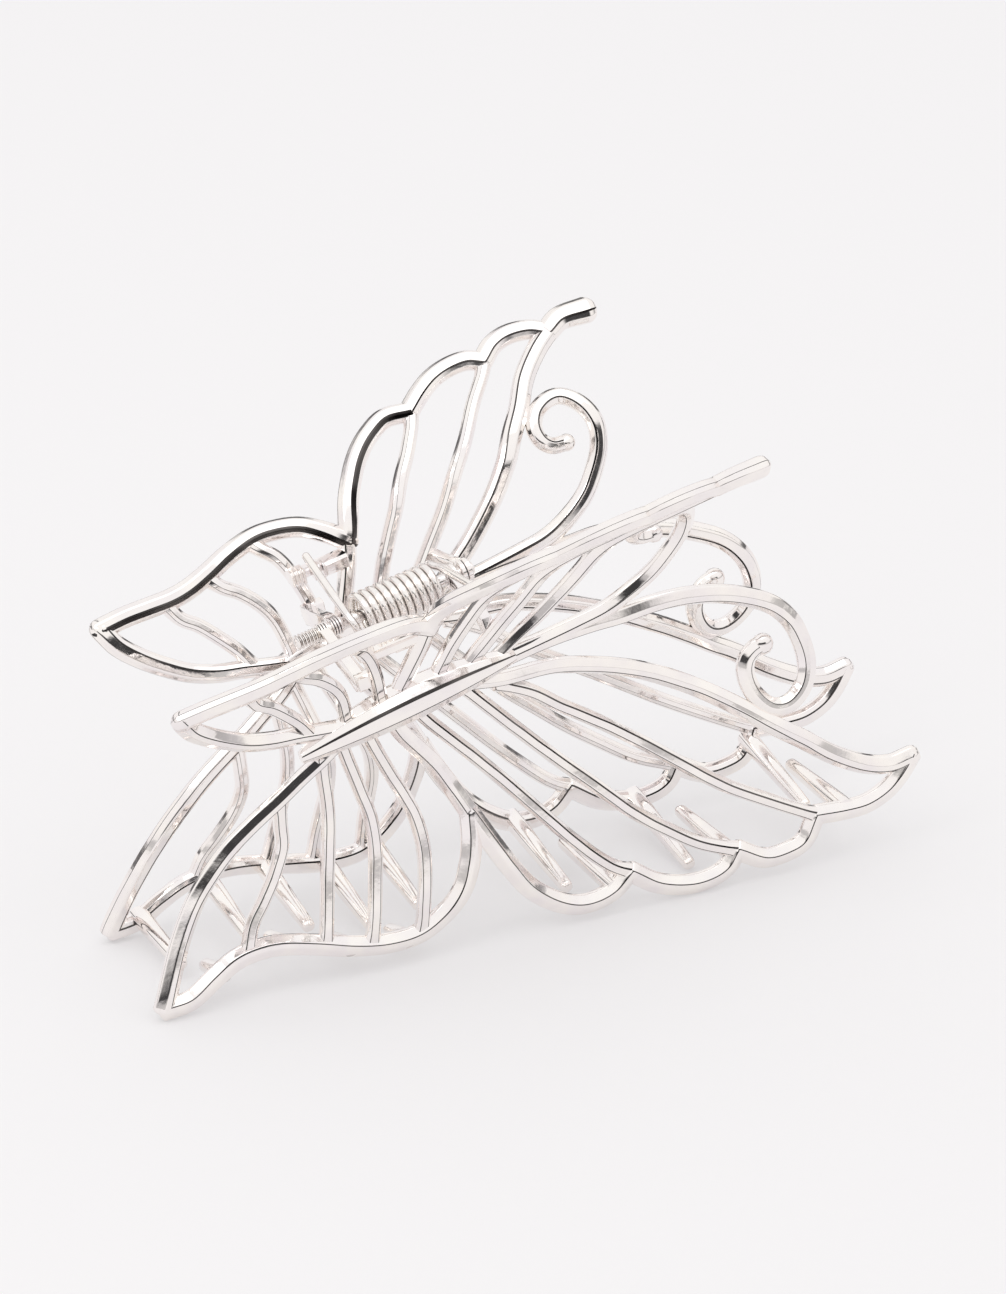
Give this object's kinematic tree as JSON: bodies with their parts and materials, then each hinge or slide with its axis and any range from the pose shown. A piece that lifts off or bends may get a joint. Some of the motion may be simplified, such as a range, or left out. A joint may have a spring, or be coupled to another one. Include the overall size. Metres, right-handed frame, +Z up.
{
  "type": "butterfly hair claw",
  "caption": "Sprung hair claw shaped like a butterfly: two openwork cast wings hinged on a pin, opened by squeezing the upper wings together.",
  "frame": {"origin": "middle of the footprint box at the level of the surface the clip stands on", "axes": "+X runs along the hinge from the small wings to the large wings, +Y points from the front half to the back half, +Z points up from the jaws to the levers"},
  "size_m": [0.1037, 0.0494, 0.0658],
  "materials": {
    "casting": "bright plated casting, lightly polished, with softer marks on the edges",
    "pin": "bright drawn wire with a ribbed end",
    "spring": "bright drawn spring wire"
  },
  "bodies": {
    "back_half": {"back_body_bar": "casting", "back_lever_small_rim": "casting", "back_lever_small_veins": "casting", "back_lever_large_rim": "casting", "back_lever_large_veins": "casting", "back_lever_antenna": "casting", "back_jaw_small_rim": "casting", "back_jaw_small_veins": "casting", "back_jaw_large_rim": "casting", "back_jaw_large_veins": "casting", "back_jaw_antenna": "casting", "back_jaw_teeth": "casting", "back_hinge_lugs": "casting", "back_spring_bridge": "casting", "hinge_pin": "pin", "torsion_spring": "spring"},
    "front_half": {"front_body_bar": "casting", "front_lever_small_rim": "casting", "front_lever_small_veins": "casting", "front_lever_large_rim": "casting", "front_lever_large_veins": "casting", "front_lever_antenna": "casting", "front_jaw_small_rim": "casting", "front_jaw_small_veins": "casting", "front_jaw_large_rim": "casting", "front_jaw_large_veins": "casting", "front_jaw_antenna": "casting", "front_jaw_teeth": "casting", "front_hinge_lugs": "casting", "front_spring_bridge": "casting"}
  },
  "joints": [
    {"name": "hinge", "type": "hinge", "parent": "back_half", "child": "front_half", "pos_m": [-0.00415, 0, 0.04539], "axis": [-0.9767, 0, -0.2147], "range_deg": [0, 50], "stiffness_Nm_per_rad": 0.12, "springref_deg": -57.3, "deforming": ["torsion_spring"]}
  ]
}
